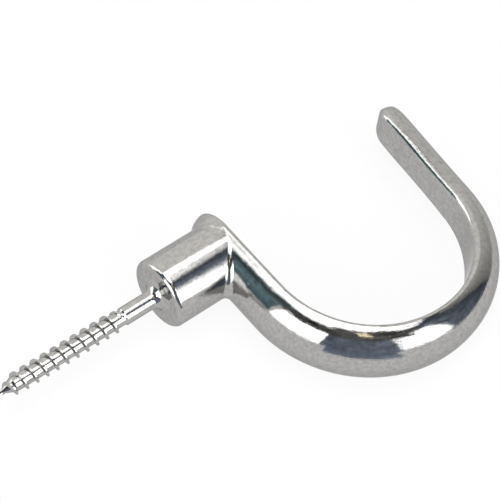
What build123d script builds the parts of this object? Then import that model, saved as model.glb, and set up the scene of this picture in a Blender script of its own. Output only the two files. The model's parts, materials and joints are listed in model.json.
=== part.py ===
from build123d import *
from math import cos, pi, radians, sin
import os

# Screw hook: a coarse wood screw, a round boss and a D-section hook, made and polished in one piece.
#
# Frame: the origin is the centre of the boss's seat, the face that meets the wall.
# +X runs out of the wall along the screw's axis, and the screw itself lies along -X.
# +Y points from the bottom of the U to its open side, and +Z is normal to the hook's plane.
# All sizes are in millimetres and degrees.

# Screw
thread_diameter = 4.8
root_diameter = 3.4
thread_pitch = 2.55
thread_start_angle = 150.0
thread_rise_turns = 1.5
thread_fade_turns = 0.5
crest_width = 0.35
ridge_width = 1.25
screw_length = 41.0
point_length = 3.8
bare_point_length = 0.7
shank_diameter = 4.1
shank_length = 9.0
shank_to_thread = 0.8
flare_radius = 2.5

# Boss, and how far the bar's flank stands proud of it on each side
boss_diameter = 16.0
seat_rim_radius = 1.2
flank_step = 0.3

# Hook, along the line of its inner face
inner_face_reach = 19.6
inner_radius = 23.6
root_leg_rise = 1.8
root_leg_drop = 16.8
bend_angle = 175.4
tip_leg_length = 23.7

# Bar section: wide from the boss to part way round the bend, then narrowing to the tip
bar_width = boss_diameter + 2 * flank_step
tip_width = 10.0
bar_thickness = 6.6
bar_edge_radius = 0.8
tip_edge_radius = 1.3
taper_start_angle = 75.0
tip_leg_taper_length = 10.0
tip_round_length = 5.0
tip_middle_height = 0.8 * bar_thickness
tip_thickness_power = 0.6
root_fillet_radius = 1.4

# Construction: how far one body reaches into the next before they are joined
sink = 0.35
boss_end_inset = 1.5 * bar_edge_radius


def bar_section(width, thickness=bar_thickness, edge_radius=bar_edge_radius):
    """D-shaped section: its flat lies on the local Y axis and its crown points to local +X."""
    crown = Ellipse(thickness, width / 2)
    half = crown & Pos(thickness / 2, 0) * Rectangle(thickness, width)
    return fillet(half.vertices(), edge_radius)


def bend_edge(start_angle, end_angle):
    """Part of the inner face's circular bend, between two angles past the root leg."""
    centre = (inner_face_reach + inner_radius, -root_leg_drop)
    return CenterArc(centre, inner_radius, 180 + start_angle, end_angle - start_angle)


def tip_leg_edge():
    bend = bend_edge(taper_start_angle, bend_angle)
    return Line(bend @ 1, bend @ 1 + (bend % 1) * tip_leg_length)


def station(edge, position):
    """Section plane at a place on the path, with local X pointing away from the hook's inside."""
    tangent = edge % position
    outward = tangent.cross(Vector(0, 0, 1))
    return Plane(origin=edge @ position, x_dir=outward, z_dir=tangent)


def tapered_section(share):
    """Section along the taper, eased from the full bar where it starts to the tip leg's where it ends."""
    share = min(max(share, 0), 1)
    eased = share * share * (3 - 2 * share)
    width = bar_width + (tip_width - bar_width) * eased
    edge_radius = bar_edge_radius + (tip_edge_radius - bar_edge_radius) * eased
    return bar_section(width, bar_thickness, edge_radius)


def build_root_leg():
    """Straight leg at the boss, with its upper end turned over into a half round."""
    leg = Line((inner_face_reach, root_leg_rise), (inner_face_reach, -root_leg_drop))
    place = station(leg, 0)
    section = bar_section(bar_width)
    straight = extrude(place * section, leg.length)
    half = section & Pos(0, bar_width / 4) * Rectangle(4 * bar_thickness, bar_width / 2)
    rounded_end = place * revolve(half, axis=Axis.X, revolution_arc=-180)
    return straight + rounded_end


def build_boss():
    """Round boss from the wall into the bar, with its seat's rim rounded."""
    length = inner_face_reach - boss_end_inset
    place = Plane(origin=(0, 0, 0), z_dir=(1, 0, 0))
    boss = place * extrude(Circle(boss_diameter / 2), length)
    seat_rim = boss.edges().group_by(Axis.X)[0]
    return fillet(seat_rim, seat_rim_radius)


def is_on_crease(edge):
    """True for the curves in which the boss's side meets the bar's crown."""
    middle = edge @ 0.5
    on_boss_side = abs((middle.Y**2 + middle.Z**2) ** 0.5 - boss_diameter / 2) < 0.001
    return on_boss_side and edge.geom_type != GeomType.LINE and middle.X > seat_rim_radius + 0.001


def build_root():
    """Root leg and boss, with the crease between them filled."""
    root = build_root_leg() + build_boss()
    crease = [edge for edge in root.edges() if is_on_crease(edge)]
    return fillet(crease, root_fillet_radius)


def build_full_bend():
    """The bend's full-width stretch, turned about the bend's centre."""
    section = station(bend_edge(0, taper_start_angle), 0) * bar_section(bar_width)
    centre = Axis((inner_face_reach + inner_radius, -root_leg_drop, 0), (0, 0, 1))
    return revolve(section, axis=centre, revolution_arc=taper_start_angle)


def build_tapered_bend():
    """The rest of the bend and the tip leg, along which the bar narrows."""
    bend = bend_edge(taper_start_angle, bend_angle)
    tip_leg = tip_leg_edge()
    taper_length = bend.length + tip_leg_taper_length
    bend_steps = 8
    leg_shares = (0, 0.25, 0.5, 1)
    sections = []
    for step in range(bend_steps):
        position = step / bend_steps
        section = tapered_section(position * bend.length / taper_length)
        sections.append(station(bend, position) * section)
    for position in leg_shares:
        section = tapered_section((bend.length + position * tip_leg_length) / taper_length)
        sections.append(station(tip_leg, position) * section)
    return sweep(sections, path=Wire([bend, tip_leg]), multisection=True)


def build_tip_end():
    """Rounded end: the width closes along a quarter ellipse, and the thickness later and towards the crown."""
    steps = 6
    last_angle = 84
    sections = []
    for step in range(steps + 1):
        angle = radians(last_angle * step / steps)
        width_share = cos(angle)
        thickness_share = width_share**tip_thickness_power
        section = bar_section(
            width_share * tip_width,
            thickness_share * bar_thickness,
            width_share * tip_edge_radius,
        )
        inset = tip_middle_height * (1 - thickness_share)
        sections.append(Pos(inset, 0, tip_round_length * sin(angle)) * section)
    return station(tip_leg_edge(), 1) * loft(sections)


# Distances along the screw are counted from the seat towards the point.
thread_start = screw_length - bare_point_length
thread_end = shank_length + shank_to_thread
thread_turns = (thread_start - thread_end) / thread_pitch


def core_radius(distance):
    """Radius under the thread, which closes to nothing at the point."""
    share = min((screw_length - distance) / point_length, 1)
    return share * root_diameter / 2


def crest_radius(distance):
    """Radius of the thread's crest, which rises from the point and fades out at the shank."""
    first_share = 0.15
    rise = (thread_start - distance) / (thread_rise_turns * thread_pitch)
    fade = (distance - thread_end) / (thread_fade_turns * thread_pitch)
    share = max(0, min(1, first_share + (1 - first_share) * rise, fade))
    return core_radius(distance) + share * (thread_diameter - root_diameter) / 2


def sunk_radius(distance):
    """Radius of the ridge's foot, inside the core."""
    least_radius = 0.05
    return max(core_radius(distance) - sink, least_radius)


def thread_rail(start_turn, end_turn, radius_at, offset):
    """One corner of the thread's ridge, as a right-hand helix."""
    steps = 12
    points = []
    for step in range(steps + 1):
        turn = start_turn + (end_turn - start_turn) * step / steps
        angle = radians(thread_start_angle) + 2 * pi * turn
        distance = thread_start - thread_pitch * turn
        radius = radius_at(distance)
        points.append((-distance - offset, radius * cos(angle), radius * sin(angle)))
    return Spline(*points)


def build_ridge_segment(start_turn, end_turn):
    """Closed piece of the ridge, its four faces ruled between its corner helices."""
    corners = [
        (sunk_radius, ridge_width / 2),
        (crest_radius, crest_width / 2),
        (crest_radius, -crest_width / 2),
        (sunk_radius, -ridge_width / 2),
    ]
    rails = [thread_rail(start_turn, end_turn, radius, offset) for radius, offset in corners]
    faces = [Face.make_surface_from_curves(rails[i - 1], rails[i]) for i in range(len(rails))]
    for end in (0, 1):
        faces.append(Face(Wire.make_polygon([rail @ end for rail in rails])))
    return Solid(Shell(faces))


def build_ridge():
    """The whole thread, in pieces of about half a turn joined end to end."""
    count = int(2 * thread_turns) + 1
    turns = [thread_turns * i / count for i in range(count + 1)]
    segments = [build_ridge_segment(turns[i], turns[i + 1]) for i in range(count)]
    return segments[0].fuse(*segments[1:])


def build_core():
    """Shank and thread core, turned about the screw's axis."""
    shank_radius = shank_diameter / 2
    root_radius = root_diameter / 2
    step_length = shank_radius - root_radius
    profile = Polyline(
        (sink, 0),
        (sink, shank_radius),
        (-shank_length, shank_radius),
        (-shank_length - step_length, root_radius),
        (-screw_length + point_length, root_radius),
        (-screw_length, 0),
        (sink, 0),
    )
    return revolve(make_face(profile), axis=Axis.X)


def is_shank_foot(edge):
    """True for the circle in which the shank meets the seat."""
    middle = edge @ 0.5
    on_shank = abs((middle.Y**2 + middle.Z**2) ** 0.5 - shank_diameter / 2) < 0.001
    return on_shank and abs(middle.X) < 0.001


def build_hook():
    hook = build_root() + build_full_bend() + build_tapered_bend() + build_tip_end()
    hook = hook + build_core()
    foot = [edge for edge in hook.edges() if is_shank_foot(edge)]
    hook = fillet(foot, flare_radius)
    return hook + build_ridge()


screw_hook = build_hook()

os.makedirs("parts", exist_ok=True)
export_step(screw_hook, "parts/screw_hook.step")
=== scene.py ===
"""Looks of the polished screw hook: its metal, a plain pale floor, a small photo studio and the camera.

Sizes are in metres and angles in degrees. The cards' directions round the hook are given as azimuths
from +X towards +Y, and elevations above the horizon. The camera's azimuth is counted from -Y towards +X.
"""
import json
from math import cos, radians, sin

import bpy
from mathutils import Matrix, Vector


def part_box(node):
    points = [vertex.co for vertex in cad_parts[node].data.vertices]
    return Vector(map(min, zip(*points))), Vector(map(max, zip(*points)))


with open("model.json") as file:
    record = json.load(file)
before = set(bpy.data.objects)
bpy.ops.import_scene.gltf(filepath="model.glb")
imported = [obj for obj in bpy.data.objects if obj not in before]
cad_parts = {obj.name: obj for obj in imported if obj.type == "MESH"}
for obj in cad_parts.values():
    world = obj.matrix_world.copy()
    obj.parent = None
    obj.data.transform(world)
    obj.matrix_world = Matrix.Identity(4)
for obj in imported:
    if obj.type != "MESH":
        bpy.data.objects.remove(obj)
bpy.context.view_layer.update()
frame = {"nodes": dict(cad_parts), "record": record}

HOOK = "screw_hook"

# Camera: where it stands seen from the hook, and how far its axis passes from the boss's seat
camera_azimuth = -47.15
camera_elevation = 55.31
camera_roll = 9.72
camera_distance = 0.4384
aim_right = 0.01966
aim_up = 0.00968
lens = 149.2
sensor = 36.0

# The bend of the hook, which the polishing strokes follow and the card on the floor lies round
bend_mount = next(mount for mount in frame["record"]["mounts"] if mount["name"] == "hook_arc")
bend_centre = Vector(bend_mount["pos_m"])
bend_radius = bend_mount["dims"]["r_mm"] / 1000

# Studio: its sizes, the floor's gap under the hook, and the height of the card that lies on the floor
studio_radius = 1.5
floor_size = 3.0
floor_gap = 0.00002
table_card_lift = 0.0002

# Cards: the width of one face in degrees, and the levels of the brightest ones
card_step = 3
ceiling_levels = (3, 3)
window_levels = (4, 4)

scene = bpy.context.scene
scene.view_settings.view_transform = "Standard"


def link(tree, output, target):
    tree.links.new(output, target)


def new_material(name):
    material = bpy.data.materials.new(name)
    material.use_nodes = True
    material.node_tree.nodes.clear()
    return material, material.node_tree


def noise(tree, vector, scale, detail, roughness=0.5):
    node = tree.nodes.new("ShaderNodeTexNoise")
    node.inputs["Scale"].default_value = scale
    node.inputs["Detail"].default_value = detail
    node.inputs["Roughness"].default_value = roughness
    link(tree, vector, node.inputs["Vector"])
    return node.outputs["Fac"]


def stretched(tree, vector, scale):
    node = tree.nodes.new("ShaderNodeMapping")
    node.inputs["Scale"].default_value = scale
    link(tree, vector, node.inputs["Vector"])
    return node.outputs["Vector"]


def remap(tree, value, low, high, to_low, to_high):
    node = tree.nodes.new("ShaderNodeMapRange")
    node.interpolation_type = "SMOOTHSTEP"
    node.inputs["From Min"].default_value = low
    node.inputs["From Max"].default_value = high
    node.inputs["To Min"].default_value = to_low
    node.inputs["To Max"].default_value = to_high
    link(tree, value, node.inputs["Value"])
    return node.outputs["Result"]


def bump(tree, height, distance, below=None):
    node = tree.nodes.new("ShaderNodeBump")
    node.inputs["Strength"].default_value = 1.0
    node.inputs["Distance"].default_value = distance
    link(tree, height, node.inputs["Height"])
    if below is not None:
        link(tree, below, node.inputs["Normal"])
    return node.outputs["Normal"]


def math_node(tree, operation, first, second=None, clamp=False):
    node = tree.nodes.new("ShaderNodeMath")
    node.operation = operation
    node.use_clamp = clamp
    for socket, value in zip(node.inputs, (first, second)):
        if isinstance(value, (int, float)):
            socket.default_value = value
        elif value is not None:
            link(tree, value, socket)
    return node.outputs["Value"]


def along_the_hook(tree, place):
    """Coordinates that follow the bar: along it, out from the bend's centre, and up.

    Beside the legs the bar is straight, and round the bend it turns about the bend's axis.
    """
    split = tree.nodes.new("ShaderNodeSeparateXYZ")
    link(tree, place, split.inputs["Vector"])
    across = math_node(tree, "SUBTRACT", split.outputs["X"], bend_centre.x)
    height = math_node(tree, "SUBTRACT", split.outputs["Y"], bend_centre.y)
    below = math_node(tree, "MINIMUM", height, 0.0)
    above = math_node(tree, "MAXIMUM", height, 0.0)
    sideways = math_node(tree, "ABSOLUTE", across)
    down = math_node(tree, "ABSOLUTE", below)
    turn = math_node(tree, "ARCTAN2", sideways, down)
    along = math_node(tree, "ADD", math_node(tree, "MULTIPLY", turn, bend_radius), above)
    across_squared = math_node(tree, "POWER", across, 2.0)
    below_squared = math_node(tree, "POWER", below, 2.0)
    squares = math_node(tree, "ADD", across_squared, below_squared)
    joined = tree.nodes.new("ShaderNodeCombineXYZ")
    link(tree, along, joined.inputs["X"])
    link(tree, math_node(tree, "SQRT", squares), joined.inputs["Y"])
    link(tree, split.outputs["Z"], joined.inputs["Z"])
    return joined.outputs["Vector"]


def polished_steel():
    """Polished steel: a mirror with faint waves, polishing strokes along the bar and small pits, which are
    dents in the bump and are darkened in the base colour as painted shade.

    Scales are in features per metre, and depths in metres.
    """
    pit_scale, pit_depth = 1500.0, 0.00001
    wave_scale, wave_depth = 260.0, 0.000016
    stroke_scale, stroke_depth = 4200.0, 0.000016
    stroke_stretch = (0.14, 1.0, 1.0)
    tint_scale = 900.0
    cloud_scale = 700.0
    cloud_stretch = (0.3, 1.0, 1.0)
    material, tree = new_material("polished_steel_finish")
    output = tree.nodes.new("ShaderNodeOutputMaterial")
    shader = tree.nodes.new("ShaderNodeBsdfPrincipled")
    shader.inputs["Metallic"].default_value = 1.0
    shader.inputs["Specular Tint"].default_value = (0.62, 0.62, 0.62, 1)
    place = tree.nodes.new("ShaderNodeTexCoord").outputs["Object"]
    bar_place = along_the_hook(tree, place)
    # Mask of the small pits: it shapes their dents in the bump and places the painted shade inside them
    pit_dents_and_shade = remap(tree, noise(tree, place, pit_scale, 2.0), 0.22, 0.33, 1.0, 0.0)
    tint = tree.nodes.new("ShaderNodeMix")
    tint.data_type = "RGBA"
    tint.inputs["A"].default_value = (0.365, 0.36, 0.35, 1)
    tint.inputs["B"].default_value = (0.445, 0.44, 0.43, 1)
    tint_share = remap(tree, noise(tree, place, tint_scale, 4.0, 0.7), 0.35, 0.65, 0.0, 1.0)
    link(tree, tint_share, tint.inputs["Factor"])
    # Painted shade: the base colour turns dark grey inside the pits, while their dents come from the bump
    # below
    pit_shade = tree.nodes.new("ShaderNodeMix")
    pit_shade.data_type = "RGBA"
    pit_shade.inputs["B"].default_value = (0.16, 0.16, 0.16, 1)
    link(tree, tint.outputs["Result"], pit_shade.inputs["A"])
    link(tree, pit_dents_and_shade, pit_shade.inputs["Factor"])
    link(tree, pit_shade.outputs["Result"], shader.inputs["Base Color"])
    cloud = noise(tree, stretched(tree, bar_place, cloud_stretch), cloud_scale, 4.0)
    link(tree, remap(tree, cloud, 0.35, 0.7, 0.03, 0.08), shader.inputs["Roughness"])
    waves = bump(tree, noise(tree, place, wave_scale, 2.0, 0.4), wave_depth)
    strokes = noise(tree, stretched(tree, bar_place, stroke_stretch), stroke_scale, 3.0, 0.6)
    strokes = bump(tree, strokes, stroke_depth, waves)
    dents = remap(tree, pit_dents_and_shade, 0.0, 1.0, 1.0, 0.0)
    link(tree, bump(tree, dents, pit_depth, strokes), shader.inputs["Normal"])
    link(tree, shader.outputs["BSDF"], output.inputs["Surface"])
    return material


def seen_directly(tree):
    """1 for rays from the camera or off metal and glass, and 0 for all others."""
    path = tree.nodes.new("ShaderNodeLightPath").outputs
    shiny = math_node(tree, "ADD", path["Is Glossy Ray"], path["Is Transmission Ray"])
    return math_node(tree, "ADD", path["Is Camera Ray"], shiny, clamp=True)


def pale_floor():
    """White paper, lifted towards pure white where it is seen, with the hook's shadow left on it."""
    lift = 0.9
    material, tree = new_material("paper_floor")
    output = tree.nodes.new("ShaderNodeOutputMaterial")
    paper = tree.nodes.new("ShaderNodeBsdfDiffuse")
    paper.inputs["Color"].default_value = (0.86, 0.86, 0.86, 1)
    glow = tree.nodes.new("ShaderNodeEmission")
    glow.inputs["Color"].default_value = (1, 1, 1, 1)
    glow.inputs["Strength"].default_value = 1.0
    mix = tree.nodes.new("ShaderNodeMixShader")
    link(tree, math_node(tree, "MULTIPLY", seen_directly(tree), lift), mix.inputs["Fac"])
    link(tree, paper.outputs["BSDF"], mix.inputs[1])
    link(tree, glow.outputs["Emission"], mix.inputs[2])
    link(tree, mix.outputs["Shader"], output.inputs["Surface"])
    return material


def build_floor(height):
    half = floor_size / 2
    corners = [(-half, -half, height), (half, -half, height), (half, half, height), (-half, half, height)]
    mesh = bpy.data.meshes.new("floor")
    mesh.from_pydata(corners, [], [(0, 1, 2, 3)])
    floor = bpy.data.objects.new("floor", mesh)
    scene.collection.objects.link(floor)
    mesh.materials.append(pale_floor())


def card_material(name, colour, grain):
    """Glowing card, whose level at each place is stored on the mesh, mottled by the share called grain."""
    material, tree = new_material(name)
    output = tree.nodes.new("ShaderNodeOutputMaterial")
    glow = tree.nodes.new("ShaderNodeEmission")
    glow.inputs["Color"].default_value = (*colour, 1)
    stored = tree.nodes.new("ShaderNodeAttribute")
    stored.attribute_name = "level"
    field = noise(tree, tree.nodes.new("ShaderNodeTexCoord").outputs["Object"], 4.0, 6.0, 0.7)
    mottle = remap(tree, field, 0.35, 0.7, 1 - grain, 1 + grain)
    link(tree, math_node(tree, "MULTIPLY", stored.outputs["Fac"], mottle), glow.inputs["Strength"])
    link(tree, glow.outputs["Emission"], output.inputs["Surface"])
    return material


def between(pair, share):
    return pair[0] + (pair[1] - pair[0]) * share


def steps_across(pair):
    """Number of faces across a card, each about card_step wide."""
    return max(2, int(abs(pair[1] - pair[0]) / card_step))


def place_card(name, points, faces, strengths, colour, grain, lights):
    """Card made of the given mesh, seen in the metal and not by the camera.

    If lights is true, it also lights the floor.
    """
    mesh = bpy.data.meshes.new(name)
    mesh.from_pydata(points, [], faces)
    mesh.attributes.new("level", "FLOAT", "POINT").data.foreach_set("value", strengths)
    card = bpy.data.objects.new(name, mesh)
    scene.collection.objects.link(card)
    mesh.materials.append(card_material(name, colour, grain))
    card.visible_camera = False
    card.visible_shadow = False
    card.visible_diffuse = lights


def build_card(name, azimuths, elevations, colour, levels, grain=0.0, lights=False, lean=0.0):
    """Card or softbox curved round the hook.

    levels are its strengths at its two azimuths, and lean turns its top towards the second one, in degrees.
    """
    columns = steps_across(azimuths)
    rows = steps_across(elevations)
    points, strengths = [], []
    for row in range(rows + 1):
        rise = row / rows
        elevation = radians(between(elevations, rise))
        for column in range(columns + 1):
            share = column / columns
            azimuth = radians(between(azimuths, share) + lean * rise)
            points.append((
                studio_radius * cos(elevation) * cos(azimuth),
                studio_radius * cos(elevation) * sin(azimuth),
                studio_radius * sin(elevation),
            ))
            strengths.append(between(levels, share))
    faces = []
    for row in range(rows):
        for column in range(columns):
            first = row * (columns + 1) + column
            faces.append((first, first + columns + 1, first + columns + 2, first + 1))
    place_card(name, points, faces, strengths, colour, grain, lights)


def build_table_card(name, azimuths, near, colour, levels, grain):
    """Card lying on the floor round the bend, from the distance called near outwards."""
    columns = steps_across(azimuths)
    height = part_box(HOOK)[0].z + table_card_lift
    points, strengths = [], []
    for reach in (near, studio_radius):
        for column in range(columns + 1):
            share = column / columns
            azimuth = radians(between(azimuths, share))
            points.append((
                bend_centre.x + reach * cos(azimuth),
                bend_centre.y + reach * sin(azimuth),
                height,
            ))
            strengths.append(between(levels, share))
    faces = [(i, i + columns + 1, i + columns + 2, i + 1) for i in range(columns)]
    place_card(name, points, faces, strengths, colour, grain, False)


def build_studio():
    """White ceiling and window-like softboxes, and the dark, grey and teal stretches between them."""
    white = (1.0, 1.0, 1.0)
    blue_dark = (0.80, 0.93, 1.20)
    dark = (1.0, 1.0, 0.97)
    grey = (1.0, 0.985, 0.96)
    build_card("left_ceiling", (135, 210), (67, 90), white, ceiling_levels, lights=True)
    build_card("camera_side_ceiling", (-150, -62), (76, 90), white, ceiling_levels, lights=True)
    build_card("front_ceiling", (-62, 10), (66, 90), white, ceiling_levels, lights=True)
    build_card("right_ceiling", (10, 46), (57.5, 90), white, ceiling_levels, lights=True)
    build_card("far_ceiling", (46, 135), (67, 90), white, ceiling_levels, lights=True)
    build_card("left_window", (165, 204), (-14, 41), white, window_levels, lights=True, lean=6)
    build_card("right_window", (-99, -60), (6, 42), white, window_levels, lights=True)
    build_card("right_window_top", (-77, -60), (42, 52), white, window_levels, lights=True)
    build_card("above_left_window", (143, 210), (41, 67), dark, (0.12, 0.12), 0.8)
    build_card("camera_side", (-156, -99), (-14, 41), blue_dark, (0.24, 0.36), 0.4, lean=6)
    build_table_card("table", (-150, -104), 0.066, blue_dark, (0.24, 0.36), 0.4)
    build_card("above_camera", (-150, -101), (41, 76), dark, (0.16, 0.18), 0.7)
    build_card("above_right_window", (-101, -77), (42, 76), dark, (0.18, 0.18), 0.7)
    build_card("beside_right_window", (-77, -60), (52, 76), dark, (0.18, 0.18), 0.7)
    build_card("right_of_window", (-60, -20), (2, 60), blue_dark, (0.30, 0.12), 0.5)
    build_card("above_shade", (-60, 10), (57.5, 66), blue_dark, (0.16, 0.10), 0.5)
    build_card("shaded_wall", (-20, 20), (-2, 57.5), grey, (0.28, 0.95), 0.1)
    build_card("near_wall", (20, 47), (-2, 52.5), grey, (0.95, 1.15), 0.06)
    build_card("wall_edge", (20, 47), (52.5, 57.5), dark, (0.05, 0.05), 0.3)
    build_card("far_wall", (47, 113), (-2, 67), grey, (1.2, 1.1), 0.06)
    build_card("far_window", (113, 139), (-2, 67), white, (2.6, 2.6))
    build_card("teal_panel", (139, 165), (-14, 66), (0.62, 0.98, 1.08), (0.26, 0.30), 0.6)
    build_card("warm_lamp", (-121, -108), (57, 70), (1.0, 0.88, 0.58), (3.2, 3.2))


def build_world():
    """White surroundings at strength 1 for the camera and in the metal, and softer on what scatters light."""
    world = bpy.data.worlds.new("surroundings")
    scene.world = world
    world.use_nodes = True
    tree = world.node_tree
    tree.nodes.clear()
    output = tree.nodes.new("ShaderNodeOutputWorld")
    background = tree.nodes.new("ShaderNodeBackground")
    background.inputs["Color"].default_value = (1, 1, 1, 1)
    level = remap(tree, seen_directly(tree), 0.0, 1.0, 0.6, 1.0)
    link(tree, level, background.inputs["Strength"])
    link(tree, background.outputs["Background"], output.inputs["Surface"])


def build_camera():
    azimuth, elevation, roll = radians(camera_azimuth), radians(camera_elevation), radians(camera_roll)
    level_right = Vector((cos(azimuth), sin(azimuth), 0))
    back = Vector((sin(azimuth) * cos(elevation), -cos(azimuth) * cos(elevation), sin(elevation)))
    level_up = back.cross(level_right)
    right = level_right * cos(roll) + level_up * sin(roll)
    up = level_up * cos(roll) - level_right * sin(roll)
    turn = Matrix((right, up, back)).transposed().to_4x4()
    place = back * camera_distance + right * aim_right + up * aim_up
    data = bpy.data.cameras.new("camera")
    data.lens = lens
    data.sensor_width = sensor
    data.clip_start = 0.01
    data.clip_end = 20.0
    camera = bpy.data.objects.new("camera", data)
    camera.matrix_world = Matrix.Translation(place) @ turn
    scene.collection.objects.link(camera)
    scene.camera = camera


def finish_hook():
    hook = frame["nodes"][HOOK]
    hook.data.materials.clear()
    hook.data.materials.append(polished_steel())


finish_hook()
build_floor(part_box(HOOK)[0].z - floor_gap)
build_studio()
build_world()
build_camera()
